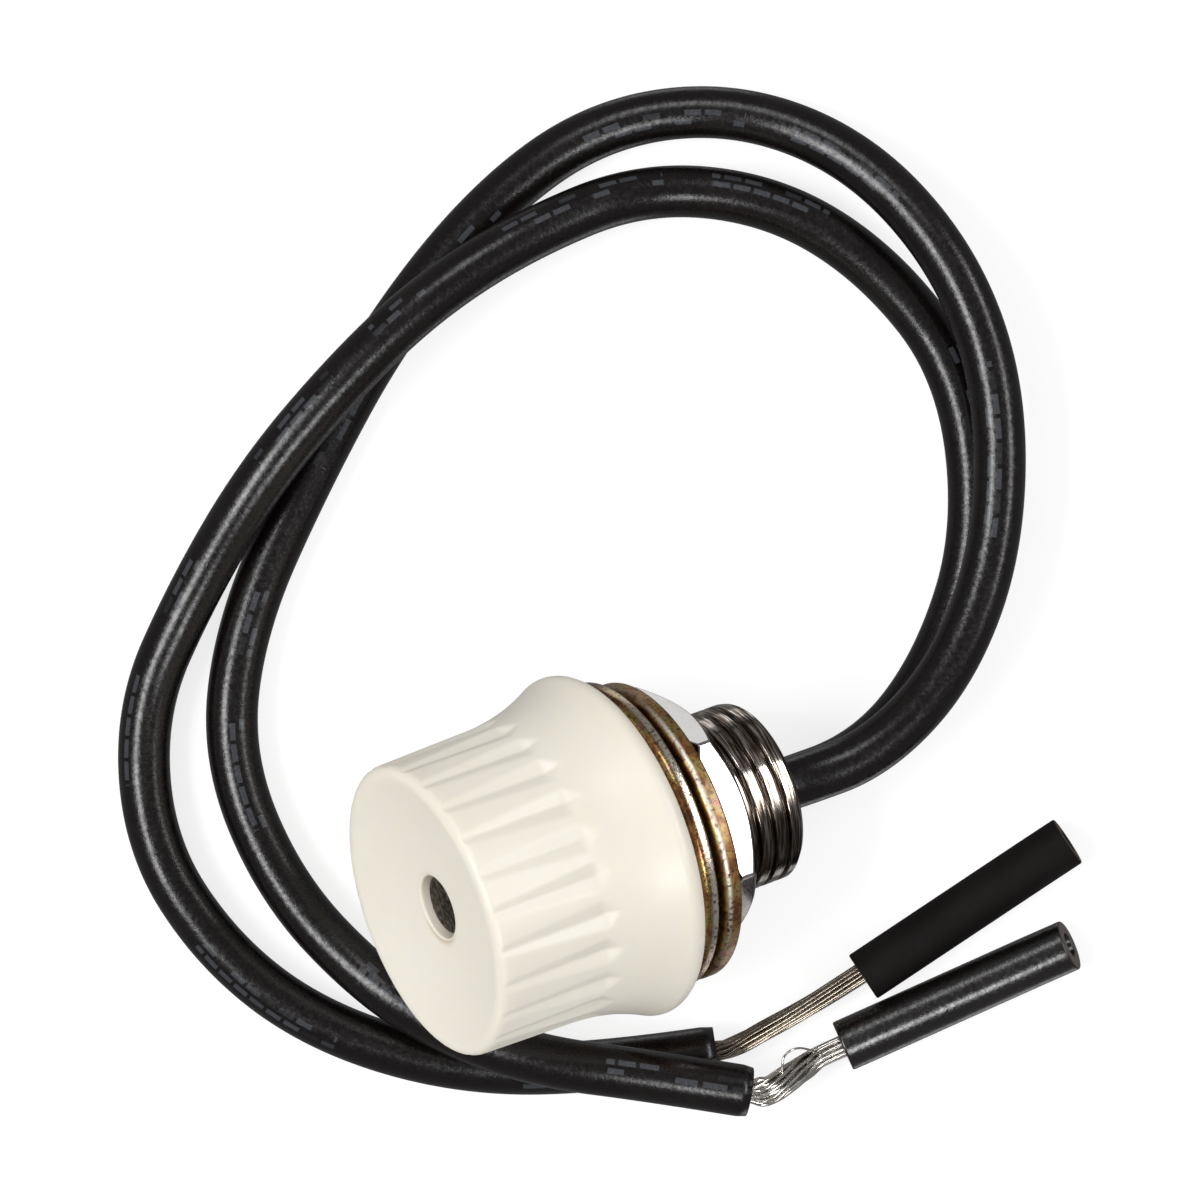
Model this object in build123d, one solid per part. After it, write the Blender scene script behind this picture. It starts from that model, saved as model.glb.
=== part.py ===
from build123d import *
import math
import os

os.makedirs("parts", exist_ok=True)

# Sizes are in mm. Axial positions run along the switch's own axis: 0 at the knob's rear plane, + to its face.

# Fits
SLIP = 0.02
RUNNING = 0.05
PLAY = 0.10
PAST = 1.0
FLOOR_GAP = 0.03

# Knob
KNOB_LENGTH = 11.75
KNOB_WALL = 0.95
FACE_ROUND = 0.45
FACE_LAND = 0.2
DISH_DEPTH = 0.9
SIDE_TAPER = math.radians(1.7)
FLARE_RADIUS = 11.5
LIP_RADIUS = 9.4
LIP_ROUND = 0.8
FLUTE_COUNT = 24
FLUTE_DEPTH = 0.1
FLUTE_HALF_ANGLE = math.radians(73)
FLUTE_REAR = 5.4
FLUTE_RAMP = math.radians(25)
BOSS_FLATS = 5.2
BOSS_LENGTH = 1.4

# Mounting end
PLATE_RADIUS = 8.5
PLATE_THICK = 0.9
PLATE_GAP = 0.25
RIM_ROUND = 0.3
NIPPLE_RADIUS = 4.95
NIPPLE_BORE = 3.9
NIPPLE_LENGTH = 7.65
NIPPLE_CHAMFER = 0.25
FLANGE_THICK = 0.5
WASHER_RADIUS = 8.2
WASHER_THICK = 1.0
WASHER_GAP = 0.35
WASHER_SIDE = 0.2
NUT_FLATS = 12.7
NUT_THICK = 2.4
NUT_TURN = -2
NUT_CHAMFER = math.radians(38)
NUT_CROWN = 0.15

# Contact block and what holds it
YOKE_REACH = 6.55
YOKE_SHEET = 0.5
YOKE_WIDTH = 3.0
YOKE_HOOK = 1.7
FLANGE_GAP = 0.2
CAVITY_GAP = 0.28
INSULATOR_THICK = 0.4
BLOCK_HEIGHT = 3.25
TERMINAL_OFFSET = 2.4
BARREL_RADIUS = 0.9
BARREL_BORE = 0.62
BARREL_DEPTH = 3.6
PAD_INNER = 1.75
PAD_OUTER = 4.7
PAD_HALF_ANGLE = math.radians(32)
PAD_THICK = 0.45
PAD_PROUD = 0.10

# Pivot pin
PIN_RADIUS = 0.95
PIN_HEAD_RADIUS = 1.65
PIN_HEAD_THICK = 0.7
PIN_HEAD_ROUND = 0.25
PIN_SINK = 0.35
PIN_TAIL_RADIUS = 1.2
PIN_TAIL_THICK = 0.45

# Rotor, blade and springs
ROTOR_RADIUS = 4.4
ROTOR_HEIGHT = 3.35
ROTOR_LIFT = 0.45
BLADE_LENGTH = 8.4
BLADE_WIDTH = 2.0
BLADE_EYE = 1.7
BLADE_THICK = 0.4
RIVET_OFFSET = 3.2
RIVET_RADIUS = 0.65
RIVET_SHANK = 0.35
RIVET_UPSET = 0.12
SPRING_RADIUS = 1.5
SPRING_WIRE = 0.3
SPRING_TURNS = 2.25
SPRING_ROOM = 0.85
DETENT_COUNT = 4
DETENT_ANGLE = 45
DETENT_GROOVE = 0.65
DETENT_GROOVE_DEPTH = 4.8
LEAF_THICK = 0.25
LEAF_HEIGHT = 1.8
LEAF_HALF_WIDTH = 2.1
LEAF_SINK = 1.05
NOSE_BITE = 0.15
NOSE_ROUND = 0.35
NOSE_HALF_ANGLE = math.radians(32)

# Leads
LEAD_RADIUS = 1.4
CONDUCTOR_RADIUS = 0.55
STRIP_LENGTH = 3.0
SLUG_BORE_GAP = 0.12
SLUG_OVERHANG = 2.0
BEND_SHARE = 0.45
LEAD_DROP = 3.35
LEAD_GATHER = 2.3
EXIT_OFFSET = 1.5
EXIT_RUN = 1.5

# Free route of each lead on the table, from just behind the nipple to the stripped end.
ROUTE_A = [
    (0, 16.5, 1.6), (-3, 21.5, 1.4), (-9, 26, 1.4), (-17.5, 28, 1.4), (-25, 26.5, 1.4),
    (-30, 21.5, 1.4), (-32.5, 15, 1.7), (-32, 8, 3.9), (-30.5, 2, 4.9), (-28, -3.5, 4.9),
    (-24.5, -9.5, 4.2), (-20, -15, 2.2), (-15, -20, 1.4), (-8, -22, 1.4), (-1.5, -20.5, 1.4),
    (4, -17, 1.4), (8.5, -11, 1.4), (11.5, -4, 1.4), (12.95, 3.2, 1.4),
]
ROUTE_B = [
    (0, 16.8, 4.5), (-2.5, 22, 4.4), (-8, 26.5, 4.4), (-16, 29.5, 4.4), (-23.5, 29.5, 4.1),
    (-30.5, 26.5, 2.6), (-35, 21, 1.4), (-36.5, 14, 1.4), (-34.5, 7, 1.4), (-29.5, -0.5, 1.4),
    (-23.5, -7.5, 1.4), (-17.5, -13.5, 1.4), (-11, -16.5, 1.4), (-3.5, -15.5, 1.4), (3, -12.5, 2.2),
    (7, -9.5, 4.1), (10, -5.5, 4.8), (12.5, -0.5, 4.8), (15.13, 4.25, 4.3),
]
SLUG_A = [(11.5, 12.3, 1.4), (8.3, 24.9, 1.4)]
SLUG_B = [(14.7, 10.0, 1.4), (13.6, 23.3, 1.4)]
STRAIGHT_A = 1.0
STRAIGHT_B = 1.0
SLUG_APPROACH = 1.0

# Radial stack, from the strap's reach outward to the knob and inward to the flange
flange_radius = YOKE_REACH - YOKE_SHEET - FLANGE_GAP
leaf_bed = YOKE_REACH - LEAF_SINK
cavity_radius = math.hypot(YOKE_REACH, YOKE_WIDTH / 2) + CAVITY_GAP
nose_reach = cavity_radius + NOSE_BITE
face_radius = cavity_radius + KNOB_WALL

# Axial stack, from the mounting end to the face
plate_front = -PLATE_GAP
plate_rear = plate_front - PLATE_THICK
washer_front = plate_rear - WASHER_GAP
washer_rear = washer_front - WASHER_THICK
nut_rear = washer_rear - NUT_THICK
nipple_end = plate_rear - NIPPLE_LENGTH
yoke_top = plate_front + YOKE_SHEET
flange_top = yoke_top + FLANGE_THICK
insulator_top = flange_top + INSULATOR_THICK
block_top = insulator_top + BLOCK_HEIGHT
pad_top = block_top + PAD_PROUD
pad_bottom = pad_top - PAD_THICK
barrel_end = pad_bottom - BARREL_DEPTH
rotor_bottom = pad_top + ROTOR_LIFT
blade_top = rotor_bottom + BLADE_THICK
rotor_top = rotor_bottom + ROTOR_HEIGHT
spring_top = blade_top + SPRING_ROOM + SPRING_WIRE
cavity_top = rotor_top + PLAY
boss_end = cavity_top - BOSS_LENGTH
dish_bottom = KNOB_LENGTH - DISH_DEPTH
pin_top = dish_bottom - PIN_SINK
pin_seat = pin_top - PIN_HEAD_THICK
shoulder = pin_seat - RUNNING
lead_start = barrel_end - PLAY
leaf_low = block_top - LEAF_HEIGHT - PLAY

# How the switch lies: lip and nipple end both on the floor
grip_run = LIP_ROUND - (nipple_end + NIPPLE_CHAMFER)
grip_rise = LIP_RADIUS - LIP_ROUND - NIPPLE_RADIUS
lean = math.atan2(grip_rise, grip_run) + math.asin(LIP_ROUND / math.hypot(grip_run, grip_rise))
lean_sin = math.sin(lean)
lean_cos = math.cos(lean)
axis_height = (LIP_RADIUS - LIP_ROUND) * lean_cos + LIP_ROUND * (1 - lean_sin)
reach_front = (KNOB_LENGTH - FACE_ROUND) * lean_cos + (face_radius - FACE_ROUND) * lean_sin + FACE_ROUND
reach_rear = -nipple_end * lean_cos + (NIPPLE_RADIUS - NIPPLE_CHAMFER) * lean_sin
lying = Plane(
    origin=(0, (reach_front - reach_rear) / 2, axis_height),
    x_dir=(1, 0, 0),
    z_dir=(0, -lean_cos, lean_sin),
)
washer_low = axis_height + washer_rear * lean_sin - WASHER_RADIUS * lean_cos
washer_lift = max(0.0, (FLOOR_GAP - washer_low) / lean_cos)
washer_hole = NIPPLE_RADIUS + math.hypot(WASHER_SIDE, washer_lift) + RUNNING

FROM_BELOW = (Align.CENTER, Align.CENTER, Align.MIN)


def rod(radius, low, high):
    """Round bar on the axis between two axial positions."""
    return Pos(0, 0, low) * Cylinder(radius, high - low, align=FROM_BELOW)


def bar(x_low, x_high, half_width, low, high):
    """Square-edged bar centred on y between two x and two axial positions."""
    size = Box(x_high - x_low, 2 * half_width, high - low, align=(Align.MIN, Align.CENTER, Align.MIN))
    return Pos(x_low, 0, low) * size


def hexagon(flats, low, high):
    """Hexagonal bar with flats facing +y and -y."""
    return Pos(0, 0, low) * extrude(RegularPolygon(flats / math.sqrt(3), 6), high - low)


def sector(inner, outer, half_angle, low, high):
    """Piece of a ring centred on +y, with radial ends."""
    side = outer * math.tan(half_angle) + PAST
    depth = side / math.tan(half_angle)
    wedge = Polygon((0, 0), (side, depth), (-side, depth), align=None)
    return Pos(0, 0, low) * extrude((Circle(outer) - Circle(inner)) & wedge, high - low)


def turned(points):
    """Solid turned about the axis from (radius, axial) corners."""
    return revolve(Plane.XZ * make_face(Polyline(*points, close=True)), Axis.Z)


def widest(shape, count):
    """The largest circular edges of a shape."""
    return shape.edges().filter_by(GeomType.CIRCLE).sort_by(SortBy.RADIUS)[-count:]


def arc_middle(centre, radius, start, end):
    """Point halfway along the shorter arc between two points of a circle."""
    middle = (start + end) * 0.5 - centre
    return centre + middle.normalized() * radius


def knob_blank():
    """Turned form of the knob: tapered side, flare and rounded lip all tangent, and a dished face."""
    face_corner = Vector(face_radius, KNOB_LENGTH)
    along = Vector(math.sin(SIDE_TAPER), -math.cos(SIDE_TAPER))
    outward = Vector(math.cos(SIDE_TAPER), math.sin(SIDE_TAPER))
    lip_centre = Vector(LIP_RADIUS - LIP_ROUND, LIP_ROUND)
    offset = face_corner + outward * FLARE_RADIUS - lip_centre
    ahead = offset.dot(along)
    reach = FLARE_RADIUS + LIP_ROUND
    run = -ahead - math.sqrt(ahead**2 - offset.length**2 + reach**2)
    side_end = face_corner + along * run
    flare_centre = side_end + outward * FLARE_RADIUS
    lip_start = lip_centre + (flare_centre - lip_centre).normalized() * LIP_ROUND
    lip_end = Vector(LIP_RADIUS - LIP_ROUND, 0)
    lip_side = Vector(LIP_RADIUS, LIP_ROUND)
    dish_radius = face_radius - FACE_ROUND - FACE_LAND
    dish_sphere = (dish_radius**2 + DISH_DEPTH**2) / (2 * DISH_DEPTH)
    dish_rim = Vector(dish_radius, KNOB_LENGTH)
    dish_middle = Vector(0, dish_bottom)
    dish_centre = dish_middle + Vector(0, dish_sphere)
    outline = Curve() + [
        Polyline((0, 0), lip_end),
        ThreePointArc(lip_end, lip_side, lip_start),
        ThreePointArc(lip_start, arc_middle(flare_centre, FLARE_RADIUS, lip_start, side_end), side_end),
        Polyline(side_end, face_corner, dish_rim),
        ThreePointArc(dish_rim, arc_middle(dish_centre, dish_sphere, dish_rim, dish_middle), dish_middle),
        Line(dish_middle, (0, 0)),
    ]
    blank = revolve(Plane.XZ * make_face(outline), Axis.Z)
    return fillet(blank.edges().group_by(Axis.Z)[-1].sort_by(SortBy.RADIUS)[-1], FACE_ROUND)


def flute_cutters():
    """Vee cutters along the mould's draw, shallow at the face and ramped to a point near the flare."""
    floor = face_radius - FLUTE_DEPTH
    half_width = PAST * math.tan(FLUTE_HALF_ANGLE)
    corners = [(floor, 0), (floor + PAST, half_width), (floor + PAST, -half_width)]
    vee = Pos(0, 0, FLUTE_REAR) * make_face(Polyline(*corners, close=True))
    ramp = (math.sin(FLUTE_RAMP), 0, -math.cos(FLUTE_RAMP))
    run = KNOB_LENGTH + PAST - FLUTE_REAR
    cutter = extrude(vee, run, dir=(0, 0, 1)) + extrude(vee, PAST / math.sin(FLUTE_RAMP), dir=ramp)
    return [place * cutter for place in PolarLocations(0, FLUTE_COUNT, start_angle=180 / FLUTE_COUNT)]


def make_knob():
    """Moulded knob: fluted shell, hexagonal drive boss, pin bearing and detent grooves."""
    body = knob_blank() - flute_cutters()
    body -= rod(cavity_radius, -PAST, cavity_top)
    body += hexagon(BOSS_FLATS, boss_end, cavity_top)
    body -= rod(PIN_RADIUS + RUNNING, boss_end - PAST, KNOB_LENGTH)
    body -= rod(PIN_HEAD_RADIUS + PLAY, shoulder, KNOB_LENGTH + PAST)
    groove = Pos(nose_reach - LEAF_THICK - 2 * PLAY, 0) * rod(DETENT_GROOVE, -PAST, DETENT_GROOVE_DEPTH)
    for place in PolarLocations(0, DETENT_COUNT, start_angle=DETENT_ANGLE):
        body -= place * groove
    return body


def make_rotor():
    """Carrier with a hexagonal socket for the knob, a slot for the blade and a pocket for its spring."""
    body = rod(ROTOR_RADIUS, rotor_bottom, rotor_top)
    body -= hexagon(BOSS_FLATS + PLAY, boss_end - PLAY, rotor_top + PAST)
    slot_half = BLADE_WIDTH / 2 + RUNNING
    body -= bar(-slot_half, slot_half, ROTOR_RADIUS + PAST, rotor_bottom - PAST, blade_top + SPRING_WIRE)
    body -= rod(SPRING_RADIUS + SPRING_WIRE / 2 + 2 * PLAY, rotor_bottom, spring_top)
    body -= rod(PIN_RADIUS + RUNNING, rotor_bottom - PAST, rotor_top)
    return body


def make_blade():
    """Bridge strip with rounded ends, a wider eye for the pin and holes for its two contact rivets."""
    outline = SlotOverall(BLADE_LENGTH, BLADE_WIDTH, rotation=90) + Circle(BLADE_EYE)
    outline -= Circle(PIN_RADIUS + PLAY)
    for side in (1, -1):
        outline -= Pos(0, side * RIVET_OFFSET) * Circle(RIVET_SHANK + SLIP)
    return Pos(0, 0, rotor_bottom) * extrude(outline, BLADE_THICK)


def make_rivets():
    """Two contact rivets, domed where they wipe and upset above the blade."""
    head_low = pad_top + RUNNING
    head = fillet(widest(rod(RIVET_RADIUS, head_low, rotor_bottom), 2).sort_by(Axis.Z)[0], RIVET_RADIUS / 3)
    rivet = head + rod(RIVET_SHANK, rotor_bottom, blade_top)
    rivet += rod(RIVET_SHANK + RIVET_UPSET, blade_top, blade_top + RIVET_UPSET)
    return Part() + [Pos(0, side * RIVET_OFFSET) * rivet for side in (1, -1)]


def make_contact_spring():
    """Short coil spring between the blade and the rotor."""
    low = blade_top + SPRING_WIRE / 2 + SLIP
    high = spring_top - SPRING_WIRE / 2 - SLIP
    coil = Helix((high - low) / SPRING_TURNS, high - low, SPRING_RADIUS, center=(0, 0, low))
    return sweep(Plane(coil @ 0, z_dir=coil % 0) * Circle(SPRING_WIRE / 2), path=coil, is_frenet=True)


def make_pin():
    """Shoulder rivet: domed head in the knob's face, plain shank, upset tail under the block."""
    head = fillet(widest(rod(PIN_HEAD_RADIUS, pin_seat, pin_top), 2).sort_by(Axis.Z)[-1], PIN_HEAD_ROUND)
    body = head + rod(PIN_RADIUS, insulator_top, pin_seat)
    body += rod(PIN_TAIL_RADIUS, insulator_top - PIN_TAIL_THICK, insulator_top)
    return body


def make_nipple():
    """Threaded bushing with a flange inside the switch and a chamfered open end."""
    body = rod(NIPPLE_RADIUS, nipple_end, yoke_top) + rod(flange_radius, yoke_top, flange_top)
    body -= rod(NIPPLE_BORE, nipple_end - PAST, flange_top + PAST)
    return chamfer(body.edges().group_by(Axis.Z)[0].sort_by(SortBy.RADIUS)[-1], NIPPLE_CHAMFER)


def make_plate():
    """Stamped disc behind the knob, its rim rounded on both sides."""
    body = rod(PLATE_RADIUS, plate_rear, plate_front) - rod(NIPPLE_RADIUS + SLIP, plate_rear - PAST, 0)
    return fillet(widest(body, 2), RIM_ROUND)


def make_washer():
    """Loose mounting washer, lifted by the floor and lying a little to one side."""
    body = rod(WASHER_RADIUS, washer_rear, washer_front)
    body -= rod(washer_hole, washer_rear - PAST, washer_front + PAST)
    return Pos(WASHER_SIDE, washer_lift, 0) * fillet(widest(body, 2), RIM_ROUND)


def make_nut():
    """Hexagonal nut, its corners turned to a chamfer on both faces."""
    corner = NUT_FLATS / math.sqrt(3)
    crown = NUT_FLATS / 2 - NUT_CROWN
    drop = (corner - crown) * math.tan(NUT_CHAMFER)
    rear_half = [(0, nut_rear), (crown, nut_rear), (corner, nut_rear + drop)]
    front_half = [(corner, washer_rear - drop), (crown, washer_rear), (0, washer_rear)]
    body = hexagon(NUT_FLATS, nut_rear, washer_rear) & turned(rear_half + front_half)
    return Rot(0, 0, NUT_TURN) * (body - rod(NIPPLE_RADIUS + RUNNING, nut_rear - PAST, washer_rear + PAST))


def make_yoke():
    """U-shaped strap: a ring under the flange and two arms that hook over the block."""
    body = rod(flange_radius + RUNNING, plate_front, yoke_top)
    hook_low = block_top + SLIP
    for turn in (0, 180):
        arm = bar(0, YOKE_REACH, YOKE_WIDTH / 2, plate_front, yoke_top)
        arm += bar(YOKE_REACH - YOKE_SHEET, YOKE_REACH, YOKE_WIDTH / 2, plate_front, hook_low + YOKE_SHEET)
        arm += bar(YOKE_REACH - YOKE_HOOK, YOKE_REACH, YOKE_WIDTH / 2, hook_low, hook_low + YOKE_SHEET)
        body += Rot(0, 0, turn) * arm
    return body - rod(NIPPLE_RADIUS + SLIP, plate_front - PAST, yoke_top + PAST)


def terminal_holes(radius, low, high):
    """Cutters for the two terminal barrels."""
    return [Pos(0, side * TERMINAL_OFFSET) * rod(radius, low, high) for side in (1, -1)]


def make_insulator():
    """Fibre disc between the nipple's flange and the block."""
    body = rod(flange_radius, flange_top, insulator_top)
    body -= terminal_holes(BARREL_RADIUS + RUNNING, flange_top - PAST, insulator_top + PAST)
    return body - rod(PIN_TAIL_RADIUS + PLAY, flange_top - PAST, insulator_top + PAST)


def make_block():
    """Moulded block with beds for the contacts, notches for the strap and a flat bed for the detent leaf."""
    body = rod(YOKE_REACH, insulator_top, block_top)
    body -= terminal_holes(BARREL_RADIUS + SLIP, insulator_top - PAST, block_top + PAST)
    body -= rod(PIN_RADIUS + SLIP, insulator_top - PAST, block_top + PAST)
    bed_half_angle = PAD_HALF_ANGLE + SLIP / PAD_INNER
    bed = sector(PAD_INNER - SLIP, PAD_OUTER + SLIP, bed_half_angle, pad_bottom, block_top + PAST)
    notch_floor = YOKE_REACH - YOKE_SHEET - SLIP
    notch_half = YOKE_WIDTH / 2 + RUNNING
    notch = bar(notch_floor, YOKE_REACH + PAST, notch_half, insulator_top - PAST, block_top + PAST)
    for turn in (0, 180):
        body -= Rot(0, 0, turn) * bed
        body -= Rot(0, 0, turn) * notch
    leaf_seat = bar(leaf_bed, YOKE_REACH + PAST, LEAF_HALF_WIDTH + PLAY, leaf_low - SLIP, block_top + PAST)
    return body - Rot(0, 0, DETENT_ANGLE) * leaf_seat


def make_contact(turn):
    """Contact pad with the barrel that grips one lead's conductor."""
    body = sector(PAD_INNER, PAD_OUTER, PAD_HALF_ANGLE, pad_bottom, pad_top)
    body += Pos(0, TERMINAL_OFFSET) * rod(BARREL_RADIUS, barrel_end, pad_bottom)
    body -= Pos(0, TERMINAL_OFFSET) * rod(BARREL_BORE, barrel_end - PAST, pad_bottom)
    return Rot(0, 0, turn) * body


def make_leaf():
    """Flat leaf on its bed in the block, folded outward in the middle to a rounded nose."""
    sheet = leaf_bed + LEAF_THICK / 2 + SLIP
    apex = nose_reach - LEAF_THICK / 2 + NOSE_ROUND * (1 / math.sin(NOSE_HALF_ANGLE) - 1)
    foot = (apex - sheet) * math.tan(NOSE_HALF_ANGLE)
    corners = [(sheet, -LEAF_HALF_WIDTH), (sheet, -foot), (apex, 0), (sheet, foot), (sheet, LEAF_HALF_WIDTH)]
    fold = trace(FilletPolyline(*corners, radius=NOSE_ROUND), LEAF_THICK)
    return Rot(0, 0, DETENT_ANGLE) * (Pos(0, 0, leaf_low) * extrude(fold, LEAF_HEIGHT))


def tangent_path(points):
    """Straight runs joined by arcs, each arc taking a fixed share of the shorter run beside it."""
    radii = []
    for before, here, after in zip(points, points[1:], points[2:]):
        arriving = here - before
        leaving = after - here
        turn = math.radians(arriving.get_angle(leaving))
        radii.append(BEND_SHARE * min(arriving.length, leaving.length) / math.tan(turn / 2))
    return FilletPolyline(*points, radius=radii)


def tube(points, radius):
    """Round cord along a path of points."""
    path = tangent_path(points)
    return sweep(Plane(path @ 0, z_dir=path % 0) * Circle(radius), path=path)


def lead_points(side, route):
    """Path of one lead: down from its terminal, through the nipple, then its route on the table."""
    inside = [
        (0, side * TERMINAL_OFFSET, lead_start),
        (0, side * TERMINAL_OFFSET, lead_start - LEAD_DROP),
        (0, side * (EXIT_OFFSET + PLAY), nipple_end + LEAD_GATHER),
        (0, side * EXIT_OFFSET, nipple_end - EXIT_RUN),
    ]
    return [lying.from_local_coords(Vector(point)) for point in inside] + [Vector(point) for point in route]


def make_conductor(side, points, slug, straight):
    """Bare strands: a tail in the terminal barrel, and the stripped stretch that runs on into the slug."""
    tail = Pos(0, side * TERMINAL_OFFSET) * rod(CONDUCTOR_RADIUS, lead_start, lead_start + STRIP_LENGTH)
    start = points[-1]
    onward = (points[-1] - points[-2]).normalized()
    slug_start, slug_end = [Vector(point) for point in slug]
    slug_way = (slug_end - slug_start).normalized()
    mouth = slug_start - slug_way * SLUG_APPROACH
    tip = slug_end - slug_way * SLUG_OVERHANG
    stretch = tube([start, start + onward * straight, mouth, tip], CONDUCTOR_RADIUS)
    return Part() + [lying.location * tail, stretch]


def make_slug(slug):
    """Cut piece of insulation left on the conductor's end."""
    axis = Line(*slug)
    ring = Circle(LEAD_RADIUS) - Circle(CONDUCTOR_RADIUS + SLUG_BORE_GAP)
    return extrude(Plane(axis @ 0, z_dir=axis % 0) * ring, axis.length)


points_a = lead_points(-1, ROUTE_A)
points_b = lead_points(1, ROUTE_B)

switch_pieces = {
    "knob": make_knob(),
    "rotor": make_rotor(),
    "contact_blade": make_blade(),
    "blade_contacts": make_rivets(),
    "contact_spring": make_contact_spring(),
    "pivot_pin": make_pin(),
    "base_plate": make_plate(),
    "block_yoke": make_yoke(),
    "threaded_nipple": make_nipple(),
    "fibre_insulator": make_insulator(),
    "contact_block": make_block(),
    "fixed_contact_a": make_contact(180),
    "fixed_contact_b": make_contact(0),
    "detent_spring": make_leaf(),
    "mounting_washer": make_washer(),
    "hex_nut": make_nut(),
}
lead_pieces = {
    "lead_a": tube(points_a, LEAD_RADIUS),
    "lead_b": tube(points_b, LEAD_RADIUS),
    "conductor_a": make_conductor(-1, points_a, SLUG_A, STRAIGHT_A),
    "conductor_b": make_conductor(1, points_b, SLUG_B, STRAIGHT_B),
    "insulation_slug_a": make_slug(SLUG_A),
    "insulation_slug_b": make_slug(SLUG_B),
}

for name, piece in switch_pieces.items():
    export_step(lying.location * piece, f"parts/{name}.step")
for name, piece in lead_pieces.items():
    export_step(piece, f"parts/{name}.step")
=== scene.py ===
import math

import bpy
import numpy as np
from mathutils import Matrix


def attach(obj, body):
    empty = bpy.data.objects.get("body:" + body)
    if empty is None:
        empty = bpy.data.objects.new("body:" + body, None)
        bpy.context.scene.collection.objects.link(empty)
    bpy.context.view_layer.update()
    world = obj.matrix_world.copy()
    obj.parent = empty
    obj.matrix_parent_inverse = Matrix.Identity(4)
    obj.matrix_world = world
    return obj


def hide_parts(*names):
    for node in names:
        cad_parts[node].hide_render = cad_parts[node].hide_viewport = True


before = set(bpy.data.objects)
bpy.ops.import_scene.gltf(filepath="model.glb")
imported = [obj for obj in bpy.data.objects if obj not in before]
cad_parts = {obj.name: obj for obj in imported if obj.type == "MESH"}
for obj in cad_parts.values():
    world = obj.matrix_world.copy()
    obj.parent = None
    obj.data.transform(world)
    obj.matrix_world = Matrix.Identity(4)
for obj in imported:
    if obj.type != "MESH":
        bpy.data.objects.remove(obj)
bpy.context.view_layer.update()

# Sizes in mm, the solids' as in the part's source. Axial 0 is the knob's rear plane, + toward its face.
MM = 0.001
KNOB_LENGTH = 11.75
FACE_RADIUS, FACE_ROUND, FACE_LAND, DISH_DEPTH = 7.9496, 0.45, 0.2, 0.9
SIDE_TAPER = math.radians(1.7)
FLARE_RADIUS, LIP_RADIUS, LIP_ROUND = 11.5, 9.4, 0.8
FLUTES, FLUTE_FLOOR, FLUTE_REAR = 24, 7.8496, 5.4
FLUTE_SLOPE, FLUTE_RAMP, FLUTE_ROUND = math.tan(math.radians(17)), math.tan(math.radians(25)), 0.03
CAVITY_RADIUS, CAVITY_TOP = 6.9996, 8.4
BOSS_FLATS, BOSS_END = 5.2, 7.0
DETENT_RADIUS, DETENT_CENTRE, DETENT_TOP = 0.65, 6.7, 4.8
PIN_BORE, PIN_RECESS, PIN_SHOULDER = 1.0, 1.75, 9.75
HOLE_EASE, HOLE_DROP = 0.15, 0.06
PLATE_RADIUS, PLATE_FRONT, PLATE_REAR = 8.5, -0.25, -1.15
WASHER_RADIUS, WASHER_FRONT, WASHER_REAR, WASHER_SIDE, WASHER_LIFT = 8.2, -1.5, -2.5, 0.2, 0.3462
PLATE_PLAY, WASHER_PLAY, DISC_ROUNDS = 0.02, 0.05, [0.06, 0.2, 0.5, 0.06]
NUT_FLATS, NUT_REAR, NUT_CROWN, NUT_TURN = 12.7, -4.9, 0.15, math.radians(-2)
NUT_CHAMFER, NUT_PLAY, NUT_MOUTH = math.tan(math.radians(38)), 0.05, 0.25
NUT_EDGE, HEX_ROUND = 0.05, 0.12
NIPPLE_RADIUS, NIPPLE_BORE, NIPPLE_END, NIPPLE_CHAMFER = 4.95, 3.9, -8.8, 0.25
FLANGE_RADIUS, FLANGE_LOW, FLANGE_TOP = 5.85, 0.25, 0.75
THREAD_PITCH, THREAD_DEPTH, THREAD_GROOVE = 25.4 / 27, 0.25, 0.38
THREAD_LEAD_IN, THREAD_STOP = 0.5, (-1.6, -1.2)
LEAD_RADIUS, LEAD_COLUMNS, PRINT_FROM = 1.4, 36, 30.0
CUT_EASE, CUT_DROP = 0.12, 0.12
SLUG_BORE, SLUG_COLUMNS, SLUG_RUN, SLUG_WOBBLE = 0.67, 48, 40, 0.012
SLUG_ROUNDS, SLUG_ROUND_COUNT, SLANT_REACH = [0.1, 0.13, 0.13, 0.1], 7, 3
STRAND_RADIUS, LOOSE_RADIUS, STRAND_COLUMNS = 0.112, 0.06, 8
STRAND_SPACING, STRAND_SWAY, SWAY_CYCLES = 0.218, 0.035, [1.3, 2.1, 3.4]

# Wear, stains and painted light: axial bands and a reach in mm, places round the axis, and shares from 0 to
# 1; the discs' rubbed bands are partly a painted highlight, the nut's one flat and the thread's groove and
# side are painted shade
PLATE_RUBBED_HIGHLIGHT, WASHER_RUBBED_HIGHLIGHT, RUBBED_HIGHLIGHT_SOFT = (-1.05, -0.72), (-1.85, -1.68), 0.08
SMUDGE_TURN, SMUDGE_REACH, SHADED_SIDE_TURN = math.radians(-25), 0.45, math.radians(20)
RIM_HIGHLIGHT_LEAST, SMUDGE_LEAST, SMUDGE_MOST, FLAT_PAINTED_SHADE, SIDE_PAINTED_SHADE, GROOVE_PAINTED_SHADE = 0.2, 0.15, 0.6, 0.6, 0.75, 0.7

# Pose of the axis on the table: both the lip and the nipple's end touch the floor.
LEAN = math.radians(25.89593)
AXIS_Y, AXIS_Z = 1.9608, 8.1871

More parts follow.
